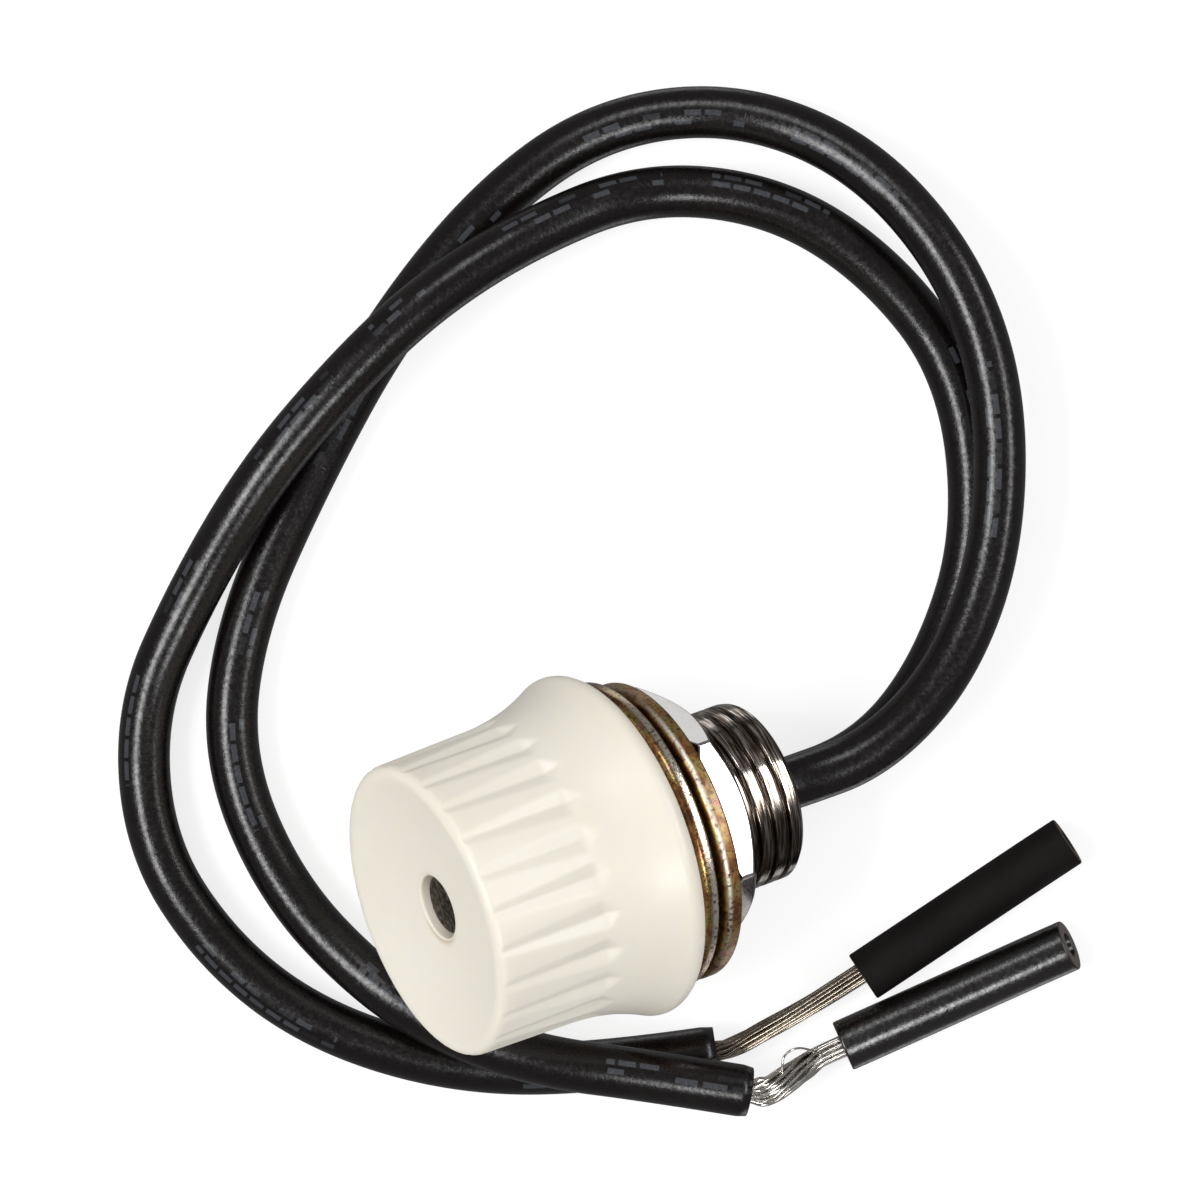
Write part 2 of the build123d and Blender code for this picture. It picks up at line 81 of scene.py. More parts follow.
# Each lead in mm: its way down the nipple in the switch's frame, on the +y side, then its route on the table.
INSIDE = [(0, 2.4, 0.35), (0, 2.4, -3.0), (0.1, 1.6, -6.5), (0.35, 1.5, -10.3)]
ROUTE_A = [
    (0.31, 16.39, 1.6), (-3, 21.5, 1.4), (-9, 26, 1.4), (-17.5, 27.9, 1.4), (-24.5, 25.5, 1.4),
    (-29.6, 21.3, 1.4), (-32.5, 15, 1.7), (-32, 8, 3.9), (-30.5, 2, 4.9), (-28, -3.5, 4.9),
    (-24.5, -9.5, 4.2), (-20, -15, 2.2), (-14.95, -19.85, 1.4), (-7.95, -21.8, 1.4), (-1.5, -20.3, 1.4),
    (3.95, -16.85, 1.4), (8.5, -11, 1.4), (11.3, -3.95, 1.4), (12.7, 3.29, 1.4),
]
ROUTE_B = [
    (0.31, 16.69, 4.5), (-2.5, 22, 4.4), (-8, 26.5, 4.4), (-15.95, 29.4, 4.4), (-23.35, 29.3, 4.1),
    (-30.35, 26.4, 2.6), (-35, 21, 1.4), (-36.5, 14, 1.4), (-34.5, 7, 1.4), (-29.7, -0.7, 1.4),
    (-23.5, -7.5, 1.4), (-17.4, -13.25, 1.4), (-10.95, -16.35, 1.4), (-3.3, -15.9, 1.4), (3.2, -12.9, 2.2),
    (7, -9.5, 4.1), (10, -5.5, 4.8), (12.5, -0.5, 4.8), (15.13, 4.25, 4.3),
]
STRIPPED_A = [(12.37, 1.6, 1.4), (12.7, 3.29, 1.4), (12.87, 4.3, 1.4), (11.62, 11.3, 1.4), (8.79, 22.96, 1.4)]
STRIPPED_B = [
    (14.1, 2.4, 4.5), (15.13, 4.25, 4.3), (15.43, 5.15, 4.2), (15.3, 6.3, 3.45), (14.91, 7.79, 2.0),
    (14.8, 8.7, 1.4), (13.76, 21.31, 1.4),
]
LOOSE_STRAND = [
    (15.0, 6.2, 3.5), (14.5, 6.35, 3.8), (13.95, 6.6, 3.9), (13.75, 7.3, 3.7), (14.1, 8.0, 3.0),
    (14.9, 8.8, 1.8),
]
SLUG_A = [(11.56, 12.06, 1.4), (8.26, 25.05, 1.4)]
SLUG_B = [(14.72, 9.8, 1.4), (13.58, 23.5, 1.4)]


def lay_down(local):
    """Switch coordinates (x, y, axial) in mm to the row frame in metres, leaned over on the floor."""
    x, y, s = np.moveaxis(np.asarray(local, float), -1, 0)
    c, n = math.cos(LEAN), math.sin(LEAN)
    return MM * np.stack([x, AXIS_Y - s * c + y * n, AXIS_Z + s * n + y * c], -1)


def arc(centre, radius, start, end, count):
    """Points of a circle from one angle to another, in degrees from the radial direction."""
    turn = np.radians(np.linspace(start, end, count))
    return np.stack([centre[0] + radius * np.cos(turn), centre[1] + radius * np.sin(turn)], -1)


def run(start, end, count):
    """Evenly spaced points of a straight run, its last point left to the next run."""
    share = np.linspace(0, 1, count, endpoint=False)[:, None]
    return np.asarray(start) * (1 - share) + np.asarray(end) * share


def rounded(corners, radii, count=8):
    """Closed outline whose corners are replaced by quadratic blends tangent to both of their sides."""
    corner = np.asarray(corners, float)
    back = np.roll(corner, 1, 0) - corner
    on = np.roll(corner, -1, 0) - corner
    back /= np.linalg.norm(back, axis=1)[:, None]
    on /= np.linalg.norm(on, axis=1)[:, None]
    size = np.asarray(radii, float)[:, None, None]
    t = np.linspace(0, 1, count)[None, :, None]
    start = corner[:, None] + back[:, None] * size
    end = corner[:, None] + on[:, None] * size
    bend = (1 - t) ** 2 * start + 2 * t * (1 - t) * corner[:, None] + t ** 2 * end
    return bend.reshape(-1, 2)


def soft_min(a, b, width):
    """Smaller of two arrays, blended over a width so that the crease between them is rounded."""
    gap = np.clip(0.5 + 0.5 * (b - a) / width, 0, 1)
    return b * (1 - gap) + a * gap - width * gap * (1 - gap)


def smooth_step(low, high, value):
    """Rises smoothly from 0 to 1 between two values."""
    t = np.clip((value - low) / (high - low), 0, 1)
    return t * t * (3 - 2 * t)


def hexagon(turn, flats):
    """Radius of a hexagon at each angle, flats facing the +y and -y sides, corners slightly rounded."""
    sixth = math.pi / 3
    lean = np.mod(turn, sixth) - sixth / 2
    left = flats / 2 / np.cos(lean)
    neighbour = flats / 2 / np.cos(sixth - np.abs(lean))
    return soft_min(left, neighbour, HEX_ROUND)


def spin(profile, columns):
    """Turned grid of a closed (radius, axial) outline carried round the axis, as radius, turn and axial."""
    turn = np.linspace(0, 2 * math.pi, columns, endpoint=False)
    radius = np.repeat(profile[:, :1], columns, 1)
    axial = np.repeat(profile[:, 1:], columns, 1)
    return radius, np.broadcast_to(turn, radius.shape), axial


def cylindrical(radius, turn, axial):
    """Radius, turn and axial arrays as switch coordinates."""
    return np.stack([radius * np.cos(turn), radius * np.sin(turn), axial], -1)


def grid_faces(rows, columns, loop_rows):
    """Quads of a grid whose columns wrap round, and whose rows wrap too where the outline is closed."""
    index = np.arange(rows * columns).reshape(rows, columns)
    down = np.roll(index, -1, 0)
    quads = np.stack([index, np.roll(index, -1, 1), np.roll(down, -1, 1), down], -1)
    return (quads if loop_rows else quads[:-1]).reshape(-1, 4)


def grid_map(rows, columns, loop_rows):
    """Corner coordinates of the same quads: along the columns, then along the rows, both from 0 to 1."""
    i, j = np.meshgrid(np.arange(rows if loop_rows else rows - 1), np.arange(columns), indexing="ij")
    across = np.stack([j, j + 1, j + 1, j], -1) / columns
    along = np.stack([i, i, i + 1, i + 1], -1) / rows
    return np.stack([across, along], -1).reshape(-1, 2)


def add_mesh(name, points, faces, corner_map, caps=(), wear_and_painted_light=None):
    """Mesh object at the origin from points in metres, quads, corner map, cap triangles and marks of wear and
    painted light.
    """
    corners = points[faces]
    flux = np.einsum("ij,ij->i", corners[:, 0], np.cross(corners[:, 1], corners[:, 2]))
    flux += np.einsum("ij,ij->i", corners[:, 0], np.cross(corners[:, 2], corners[:, 3]))
    caps = np.asarray(caps, int).reshape(-1, 3)
    uv = corner_map.reshape(-1, 4, 2)
    if flux.sum() < 0:
        faces, uv, caps = faces[:, ::-1], uv[:, ::-1], caps[:, ::-1]
    mesh = bpy.data.meshes.new(name)
    mesh.from_pydata(points.tolist(), [], faces.tolist() + caps.tolist())
    layer = mesh.uv_layers.new(name="UVMap")
    flat = np.concatenate([uv.reshape(-1, 2), np.zeros((caps.size, 2))])
    layer.data.foreach_set("uv", flat.ravel())
    mesh.polygons.foreach_set("use_smooth", np.ones(len(mesh.polygons), bool))
    if wear_and_painted_light is not None:
        marks = mesh.attributes.new("wear_and_painted_light", "FLOAT", "POINT")
        marks.data.foreach_set("value", wear_and_painted_light.ravel().astype(np.float32))
    mesh.update()
    piece = bpy.data.objects.new(name, mesh)
    bpy.context.scene.collection.objects.link(piece)
    return piece


def turned_piece(name, radius, turn, axial, shift=(0.0, 0.0), wear_and_painted_light=None):
    """Closed turned piece of the switch from its grid, moved across the axis where it isn't centred."""
    local = cylindrical(radius, turn, axial) + np.array([*shift, 0])
    rows, columns = radius.shape
    points = lay_down(local).reshape(-1, 3)
    return add_mesh(name, points, grid_faces(rows, columns, True), grid_map(rows, columns, True), wear_and_painted_light=wear_and_painted_light)


def spline_points(name, route, resolution=20):
    """Points in metres read from a NURBS spline of order 3 with the route's points as its control points."""
    curve = bpy.data.curves.new(name, "CURVE")
    curve.dimensions = "3D"
    curve.resolution_u = resolution
    spline = curve.splines.new("NURBS")
    spline.points.add(len(route) - 1)
    weighted = np.concatenate([np.asarray(route, float) * MM, np.ones((len(route), 1))], 1)
    spline.points.foreach_set("co", weighted.ravel())
    spline.order_u = 3
    spline.use_endpoint_u = True
    holder = bpy.data.objects.new(name, curve)
    line = bpy.data.meshes.new_from_object(holder)
    points = np.empty(len(line.vertices) * 3)
    line.vertices.foreach_get("co", points)
    bpy.data.objects.remove(holder)
    bpy.data.curves.remove(curve)
    bpy.data.meshes.remove(line)
    return points.reshape(-1, 3)


def path_frame(path):
    """Direction, sideways and upward unit vectors along a path that is never vertical."""
    ahead = np.gradient(path, axis=-2)
    ahead /= np.linalg.norm(ahead, axis=-1, keepdims=True)
    side = np.cross(ahead, np.array([0.0, 0.0, 1.0]))
    side /= np.linalg.norm(side, axis=-1, keepdims=True)
    return ahead, side, np.cross(side, ahead)


def tube_grid(path, radius, columns):
    """Grid of a round tube: circles of the given radius, one value or one per row, square to the path."""
    _, side, up = path_frame(path)
    turn = np.linspace(0, 2 * math.pi, columns, endpoint=False)[:, None]
    ring = np.cos(turn) * side[..., None, :] + np.sin(turn) * up[..., None, :]
    return path[..., None, :] + ring * np.asarray(radius)[..., None, None]


def capped_tubes(name, grids):
    """One mesh of several tube grids of equal size (tube, row, column), each closed by a fan at both ends."""
    count, rows, columns = grids.shape[:3]
    ends = grids[:, [0, -1]].mean(2)
    body = np.concatenate([grids.reshape(count, -1, 3), ends], 1)
    start = np.arange(count)[:, None, None] * (rows * columns + 2)
    faces = (grid_faces(rows, columns, False)[None] + start).reshape(-1, 4)
    ring = np.arange(columns)
    first = np.stack([np.full(columns, rows * columns), np.roll(ring, -1), ring], -1)
    last = np.stack([np.full(columns, rows * columns + 1), ring, np.roll(ring, -1)], -1)
    last[:, 1:] += (rows - 1) * columns
    caps = (np.concatenate([first, last])[None] + start).reshape(-1, 3)
    corner_map = np.tile(grid_map(rows, columns, False), (count, 1))
    wear_and_painted_light = np.zeros((count, rows * columns + 2))
    wear_and_painted_light[:, -2:] = 1
    return add_mesh(name, body.reshape(-1, 3), faces, corner_map, caps, wear_and_painted_light)


# Camera straight over the switch, turned so that the knob's face looks to the left as in the photograph
VIEW_RIGHT = np.array([0.3319, 0.9433, 0.0])
VIEW_UP = np.array([-0.9433, 0.3319, 0.0])
CAMERA_PLACE, CAMERA_LENS, SENSOR_WIDTH = (-0.01228, 0.00545, 0.350), 194.3, 36.0
camera_data = bpy.data.cameras.new("view")
camera_data.sensor_width = SENSOR_WIDTH
camera_data.lens = CAMERA_LENS
camera_data.clip_start, camera_data.clip_end = 0.01, 10.0
camera = bpy.data.objects.new("view", camera_data)
camera.matrix_world = Matrix((
    (VIEW_RIGHT[0], VIEW_UP[0], 0.0, CAMERA_PLACE[0]),
    (VIEW_RIGHT[1], VIEW_UP[1], 0.0, CAMERA_PLACE[1]),
    (0.0, 0.0, 1.0, CAMERA_PLACE[2]),
    (0.0, 0.0, 0.0, 1.0),
))
bpy.context.scene.collection.objects.link(camera)
bpy.context.scene.camera = camera


def lead_piece(name, side, table):
    """Extruded lead: a round tube along its spline from the terminal to the table, its cut end eased over."""
    inside = lay_down(np.asarray(INSIDE) * [1, side, 1]) / MM
    path = spline_points(name, np.concatenate([inside, table]))
    walked = np.concatenate([[0], np.cumsum(np.linalg.norm(np.diff(path, axis=0), axis=1))])
    left = walked[-1] - walked
    eased = np.clip(1 - left / (CUT_EASE * MM), 0, 1) ** 2 * CUT_DROP
    radius = LEAD_RADIUS * MM * np.sqrt(1 - eased)
    piece = capped_tubes(name, tube_grid(path, radius, LEAD_COLUMNS)[None])
    return piece, path


lead_a, path_a = lead_piece("lead_a_cover", -1, ROUTE_A)
lead_b, path_b = lead_piece("lead_b_cover", 1, ROUTE_B)


def strand_paths(name, route, spread, twist, seed):
    """Bundle of strands: rings of them round the stripped stretch's spline, turned by a twist and spread."""
    rng = np.random.default_rng(seed)
    path = spline_points(name, route, 24)
    _, side, up = path_frame(path)
    share = np.linspace(0, 1, len(path))
    ring = np.array([0] + [1] * 6 + [2] * 12)
    place = np.concatenate([[0], np.arange(6) / 6, np.arange(12) / 12 + 0.04]) * 2 * math.pi
    wave = rng.uniform(-1, 1, (2, len(ring), 3))
    turn = place[:, None] + twist * share[None] * 2 * math.pi
    reach = STRAND_SPACING * MM * ring[:, None] * np.ones_like(turn)
    cycles = share * np.array(SWAY_CYCLES)[:, None, None] + wave[0].T[..., None]
    sway = (np.sin(2 * math.pi * cycles) * wave[1].T[..., None]).sum(0) * STRAND_SWAY * MM
    fan, flat = spread(share)
    across = (reach * np.cos(turn) + sway) * fan
    rise = (reach * np.sin(turn) + sway[::-1] * 0.6) * flat
    return path[None] + across[..., None] * side[None] + rise[..., None] * up[None]


def tight(share):
    """Bundle that keeps its round section."""
    return np.ones_like(share), np.ones_like(share)


def fanned(share):
    """Bundle that leaves the lead as a flat fan and closes again before the slug."""
    swell = smooth_step(0.1, 0.24, share) * (1 - smooth_step(0.5, 0.82, share))
    return 1.1 + 0.45 * swell, 1 - 0.4 * swell


def loose_strand(count):
    """One strand that left the bundle: a small loop along its spline, at as many points as the others."""
    path = spline_points("loose_strand", LOOSE_STRAND, 24)
    place = np.linspace(0, len(path) - 1, count)
    return np.stack([np.interp(place, np.arange(len(path)), column) for column in path.T], -1)[None]


bundle_a = strand_paths("strip_a", STRIPPED_A, tight, twist=0.35, seed=3)
strands_a = capped_tubes("conductor_a_strands", tube_grid(bundle_a, STRAND_RADIUS * MM, STRAND_COLUMNS))
bundle_b = strand_paths("strip_b", STRIPPED_B, fanned, twist=0.3, seed=8)
loop_b = loose_strand(bundle_b.shape[1])
strands_b = capped_tubes("conductor_b_strands", np.concatenate([
    tube_grid(bundle_b, STRAND_RADIUS * MM, STRAND_COLUMNS),
    tube_grid(loop_b, LOOSE_RADIUS * MM, STRAND_COLUMNS),
]))


def slug_piece(name, ends, slant):
    """Cut length of insulation: a bored outline carried round its straight axis, its far end cut askew."""
    start, end = np.asarray(ends, float)
    length = np.linalg.norm(end - start)
    ahead, side, up = path_frame(np.stack([start, end]))
    corners = [(SLUG_BORE, 0), (LEAD_RADIUS, 0), (LEAD_RADIUS, length), (SLUG_BORE, length)]
    near, far = np.split(rounded(corners, SLUG_ROUNDS, SLUG_ROUND_COUNT), 2)
    outside, inside = run(near[-1], far[0], SLUG_RUN), run(far[-1], near[0], SLUG_RUN)
    outline = np.concatenate([near[:-1], outside, far[:-1], inside])
    turn = np.linspace(0, 2 * math.pi, SLUG_COLUMNS, endpoint=False)
    wobble = SLUG_WOBBLE * np.sin(3 * turn + 1)[None] * smooth_step(length * 0.8, length, outline[:, 1:])
    radius = outline[:, :1] + wobble * (outline[:, :1] > 1.0)
    askew = math.tan(slant) * smooth_step(length - SLANT_REACH, length, outline[:, 1:])
    along = outline[:, 1:] - askew * (LEAD_RADIUS + radius * np.sin(turn))
    points = start + along[..., None] * ahead[0]
    points = points + (radius * np.cos(turn))[..., None] * side[0]
    points = points + (radius * np.sin(turn))[..., None] * up[0]
    rows, columns = points.shape[:2]
    inset = np.minimum(outline[:, 1], length - outline[:, 1])
    wear_and_painted_light = np.repeat((inset < 0.02) & (outline[:, 0] < LEAD_RADIUS - 0.02), columns)
    points = points.reshape(-1, 3) * MM
    return add_mesh(name, points, grid_faces(rows, columns, True), grid_map(rows, columns, True), wear_and_painted_light=wear_and_painted_light)


slug_a = slug_piece("slug_a_sleeve", SLUG_A, math.radians(6))
slug_b = slug_piece("slug_b_sleeve", SLUG_B, math.radians(14))


def knob_outline():
    """Knob's section: recess and dish, rim, tapered side, flare and lip, all tangent, then the hollow."""
    corner = np.array([FACE_RADIUS, KNOB_LENGTH])
    along = np.array([math.sin(SIDE_TAPER), -math.cos(SIDE_TAPER)])
    outward = np.array([math.cos(SIDE_TAPER), math.sin(SIDE_TAPER)])
    lip = np.array([LIP_RADIUS - LIP_ROUND, LIP_ROUND])
    offset = corner + FLARE_RADIUS * outward - lip
    ahead = offset @ along
    length = -ahead - math.sqrt(ahead ** 2 - offset @ offset + (FLARE_RADIUS + LIP_ROUND) ** 2)
    side_end = corner + along * length
    flare = side_end + outward * FLARE_RADIUS
    meet = math.degrees(math.atan2(*(flare - lip)[::-1]))
    taper = math.degrees(SIDE_TAPER)
    dish_rim = FACE_RADIUS - FACE_ROUND - FACE_LAND
    sphere = (dish_rim ** 2 + DISH_DEPTH ** 2) / (2 * DISH_DEPTH)
    dish_r = np.linspace(PIN_RECESS + HOLE_EASE, dish_rim, 34)
    dish = np.stack([dish_r, KNOB_LENGTH - DISH_DEPTH + sphere - np.sqrt(sphere ** 2 - dish_r ** 2)], -1)
    rim_run = FACE_ROUND / math.tan(math.pi / 4 + SIDE_TAPER / 2)
    rim_centre = corner - np.array([rim_run, FACE_ROUND])
    recess_top = dish[0, 1] - HOLE_DROP
    return np.concatenate([
        run((PIN_BORE, BOSS_END), (PIN_BORE, PIN_SHOULDER), 6),
        run((PIN_BORE, PIN_SHOULDER), (PIN_RECESS, PIN_SHOULDER), 5),
        run((PIN_RECESS, PIN_SHOULDER), (PIN_RECESS, recess_top), 10),
        run((PIN_RECESS, recess_top), dish[0], 4),
        dish,
        arc(rim_centre, FACE_ROUND, 90, taper, 14),
        run(corner + along * (rim_run + 0.12), side_end, 60),
        arc(flare, FLARE_RADIUS, 180 + taper, 180 + meet, 26)[:-1],
        arc(lip, LIP_ROUND, meet, -90, 20)[:-1],
        run((LIP_RADIUS - LIP_ROUND, 0), (CAVITY_RADIUS, 0), 5),
        run((CAVITY_RADIUS, 0), (CAVITY_RADIUS, CAVITY_TOP), 24),
        run((CAVITY_RADIUS, CAVITY_TOP), (BOSS_FLATS / 2, CAVITY_TOP), 6),
        run((BOSS_FLATS / 2, CAVITY_TOP), (BOSS_FLATS / 2, BOSS_END), 4),
        run((BOSS_FLATS / 2, BOSS_END), (PIN_BORE, BOSS_END), 4),
    ])


def knob_piece():
    """Fluted knob: its section turned, each flute a vee ramped out at its rear, boss and detents inside."""
    radius, turn, axial = spin(knob_outline(), FLUTES * 16)
    step = 2 * math.pi / FLUTES
    off = np.abs(np.mod(turn, step) - step / 2)
    floor = FLUTE_FLOOR + np.clip(FLUTE_REAR - axial, 0, None) * FLUTE_RAMP
    cut = floor / (np.cos(off) - np.sin(off) * FLUTE_SLOPE)
    outer = radius > CAVITY_RADIUS + 0.4
    fluted = np.where(outer, soft_min(radius, cut, FLUTE_ROUND), radius)
    boss = (radius < BOSS_FLATS / 2 + 0.01) & (radius > PIN_RECESS + 0.5) & (axial <= CAVITY_TOP)
    fluted = np.where(boss, hexagon(turn, BOSS_FLATS) * radius / (BOSS_FLATS / 2), fluted)
    quarter = np.mod(turn, math.pi / 2) - math.pi / 4
    groove_in = DETENT_RADIUS ** 2 - (DETENT_CENTRE * np.sin(quarter)) ** 2
    groove = DETENT_CENTRE * np.cos(quarter) + np.sqrt(np.clip(groove_in, 0, None))
    wall = (np.abs(radius - CAVITY_RADIUS) < 1e-6) & (axial < DETENT_TOP) & (groove_in > 0)
    fluted = np.where(wall, np.maximum(fluted, groove), fluted)
    hole_rim = 1 - smooth_step(PIN_RECESS + 0.1, PIN_RECESS + SMUDGE_REACH, radius)
    smudge = SMUDGE_LEAST + (1 - SMUDGE_LEAST) * smooth_step(0.45, 0.95, np.cos(turn - SMUDGE_TURN))
    wear_and_painted_light = SMUDGE_MOST * hole_rim * smudge * (radius > PIN_RECESS + 0.1) * (axial > PIN_SHOULDER)
    return turned_piece("knob_moulding", fluted, turn, axial, wear_and_painted_light=wear_and_painted_light)


knob = knob_piece()


def disc_piece(name, radius, bore, front, rear, rubbed_highlight, shift=(0.0, 0.0)):
    """Stamped disc: an outline turned about the axis, drawn over at the front, its rim marked in a rubbed
    band that is partly a painted highlight, fullest on its upper side.
    """
    corners = [(bore, rear), (radius, rear), (radius, front), (bore, front)]
    r, turn, axial = spin(rounded(corners, DISC_ROUNDS, 14), 256)
    # Painted highlight: the rubbed band is fullest on the disc's upper side, where light falls on it.
    highlit_top = RIM_HIGHLIGHT_LEAST + (1 - RIM_HIGHLIGHT_LEAST) * smooth_step(0.45, 0.85, np.sin(turn))
    rim = smooth_step(radius - 0.3, radius - 0.1, r) * highlit_top
    low, high = rubbed_highlight
    begun = smooth_step(low - RUBBED_HIGHLIGHT_SOFT, low + RUBBED_HIGHLIGHT_SOFT, axial)
    ended = smooth_step(high - RUBBED_HIGHLIGHT_SOFT, high + RUBBED_HIGHLIGHT_SOFT, axial)
    wear_and_painted_light = rim * begun * (1 - ended)
    return turned_piece(name, r, turn, axial, shift, wear_and_painted_light)


plate_bore = NIPPLE_RADIUS + PLATE_PLAY
plate = disc_piece("base_plate_disc", PLATE_RADIUS, plate_bore, PLATE_FRONT, PLATE_REAR, PLATE_RUBBED_HIGHLIGHT)
washer_bore = NIPPLE_RADIUS + math.hypot(WASHER_SIDE, WASHER_LIFT) + WASHER_PLAY
washer = disc_piece(
    "mounting_washer_disc", WASHER_RADIUS, washer_bore, WASHER_FRONT, WASHER_REAR, WASHER_RUBBED_HIGHLIGHT,
    (WASHER_SIDE, WASHER_LIFT),
)


def nut_piece():
    """Hexagonal nut: flats met by a turned cone at both faces, closed to a bore with an eased mouth."""
    front, rear, bore = WASHER_REAR, NUT_REAR, NIPPLE_RADIUS + NUT_PLAY
    outline = np.concatenate([
        run((1.0, front), (1.0, rear), 72),
        run((1.0, rear), (0.1, rear), 14),
        run((0.1, rear), (0.0, rear + NUT_MOUTH), 4),
        run((0.0, rear + NUT_MOUTH), (0.0, front), 6),
        run((0.0, front), (1.0, front), 10),
    ])
    share, turn, axial = spin(outline, 480)
    nearest = np.minimum(axial - rear, front - axial)
    cone = NUT_FLATS / 2 - NUT_CROWN + nearest / NUT_CHAMFER
    flats = hexagon(turn - NUT_TURN, NUT_FLATS)
    radius = bore + (soft_min(flats, cone, NUT_EDGE) - bore) * share
    # Painted shade: one flat is darkened, standing in for a dark reflection; the chamfers are darkened as
    # well.
    flat_turn = np.mod(turn - NUT_TURN, 2 * math.pi)
    painted_shade_flat = smooth_step(-0.02, 0.06, flat_turn) * (1 - smooth_step(0.98, 1.06, flat_turn))
    wear_and_painted_light = np.maximum(smooth_step(0.0, 0.1, flats - cone), FLAT_PAINTED_SHADE * painted_shade_flat) * (share > 0.5)
    return turned_piece("hex_nut_body", radius, turn, axial, wear_and_painted_light=wear_and_painted_light)


nut = nut_piece()


def nipple_piece():
    """Threaded bushing: a bored, flanged section with a right-hand helical groove that fades at both ends."""
    outline = np.concatenate([
        run((NIPPLE_BORE + 0.1, NIPPLE_END), (NIPPLE_RADIUS - NIPPLE_CHAMFER, NIPPLE_END), 5),
        run((NIPPLE_RADIUS - NIPPLE_CHAMFER, NIPPLE_END), (NIPPLE_RADIUS, NIPPLE_END + NIPPLE_CHAMFER), 6),
        run((NIPPLE_RADIUS, NIPPLE_END + NIPPLE_CHAMFER), (NIPPLE_RADIUS, FLANGE_LOW), 190),
        run((NIPPLE_RADIUS, FLANGE_LOW), (FLANGE_RADIUS, FLANGE_LOW), 4),
        run((FLANGE_RADIUS, FLANGE_LOW), (FLANGE_RADIUS, FLANGE_TOP), 4),
        run((FLANGE_RADIUS, FLANGE_TOP), (NIPPLE_BORE, FLANGE_TOP), 6),
        run((NIPPLE_BORE, FLANGE_TOP), (NIPPLE_BORE, NIPPLE_END + 0.1), 24),
    ])
    radius, turn, axial = spin(outline, 192)
    phase = np.mod(axial / THREAD_PITCH - turn / (2 * math.pi), 1.0)
    valley = 1 - smooth_step(0.0, THREAD_GROOVE, np.abs(2 * phase - 1))
    outer = (radius > NIPPLE_RADIUS - NIPPLE_CHAMFER - 0.01) & (radius < NIPPLE_RADIUS + 0.01)
    fade = smooth_step(NIPPLE_END, NIPPLE_END + THREAD_LEAD_IN, axial)
    fade = fade * (1 - smooth_step(*THREAD_STOP, axial)) * outer
    # Painted shade: one side of the thread and its groove are darkened.
    painted_side_shade = SIDE_PAINTED_SHADE * smooth_step(0.35, 0.85, np.cos(turn - SHADED_SIDE_TURN)) * outer
    wear_and_painted_light = np.maximum(GROOVE_PAINTED_SHADE * smooth_step(0.25, 0.8, valley * fade), painted_side_shade)
    return turned_piece("threaded_nipple_body", radius - THREAD_DEPTH * valley * fade, turn, axial, wear_and_painted_light=wear_and_painted_light)


nipple = nipple_piece()


# Shared shader effects; the print's dashes are in mm
DASHES = {"Brick Width": 1.1, "Row Height": 0.5, "Mortar Size": 0.11, "Mortar Smooth": 0.2}


def new_group(name, inputs, outputs):
    """Empty shader node group with named float inputs and typed outputs: the tree and its two end nodes."""
    tree = bpy.data.node_groups.new(name, "ShaderNodeTree")
    for label, value in inputs:
        socket = tree.interface.new_socket(label, in_out="INPUT", socket_type="NodeSocketFloat")
        socket.default_value = value
    for label, kind in outputs:
        tree.interface.new_socket(label, in_out="OUTPUT", socket_type=kind)
    return tree, tree.nodes.new("NodeGroupInput"), tree.nodes.new("NodeGroupOutput")


def node(tree, kind, links=(), **values):
    """Node with its properties or named sockets set and its inputs linked."""
    made = tree.nodes.new(kind)
    for label, value in values.items():
        if hasattr(made, label):
            setattr(made, label, value)
        else:
            made.inputs[label].default_value = value
    for label, source in links:
        tree.links.new(source, made.inputs[label])
    return made


def calc(tree, operation, *values):
    """Math node on sockets or plain numbers; returns its output."""
    made = tree.nodes.new("ShaderNodeMath")
    made.operation = operation
    for place, value in enumerate(values):
        if isinstance(value, (int, float)):
            made.inputs[place].default_value = value
        else:
            tree.links.new(value, made.inputs[place])
    return made.outputs[0]


def object_noise(tree, given, **values):
    """Noise on Object coordinates at a group's own Scale; returns its factor."""
    place = node(tree, "ShaderNodeTexCoord")
    links = [("Vector", place.outputs["Object"]), ("Scale", given.outputs["Scale"])]
    return node(tree, "ShaderNodeTexNoise", links, **values).outputs["Fac"]


def map_parts(tree):
    """The two parts of a piece's corner map: round it, then along it."""
    place = node(tree, "ShaderNodeTexCoord")
    parts = node(tree, "ShaderNodeSeparateXYZ", [(0, place.outputs["UV"])])
    return parts.outputs["X"], parts.outputs["Y"]


def grain_group():
    """Fine grain: layered noise on Object coordinates raised to a power, as a value from 0 to 1."""
    tree, given, put = new_group(
        "fine_grain", [("Scale", 900.0), ("Stretch", 1.0)], [("Value", "NodeSocketFloat")]
    )
    noise = object_noise(tree, given, Detail=4.0, Roughness=0.6)
    tree.links.new(calc(tree, "POWER", noise, given.outputs["Stretch"]), put.inputs["Value"])
    return tree


def marks_group():
    """Handling marks: sparse soft blotches where a slow noise rises over a level, as a mask from 0 to 1."""
    tree, given, put = new_group(
        "handling_marks", [("Scale", 200.0), ("Level", 0.6), ("Softness", 0.1)], [("Mask", "NodeSocketFloat")]
    )
    noise = object_noise(tree, given, Detail=6.0, Distortion=0.6)
    over = calc(tree, "SUBTRACT", noise, given.outputs["Level"])
    soft = calc(tree, "DIVIDE", over, given.outputs["Softness"])
    soft.node.use_clamp = True
    tree.links.new(soft, put.inputs["Mask"])
    return tree


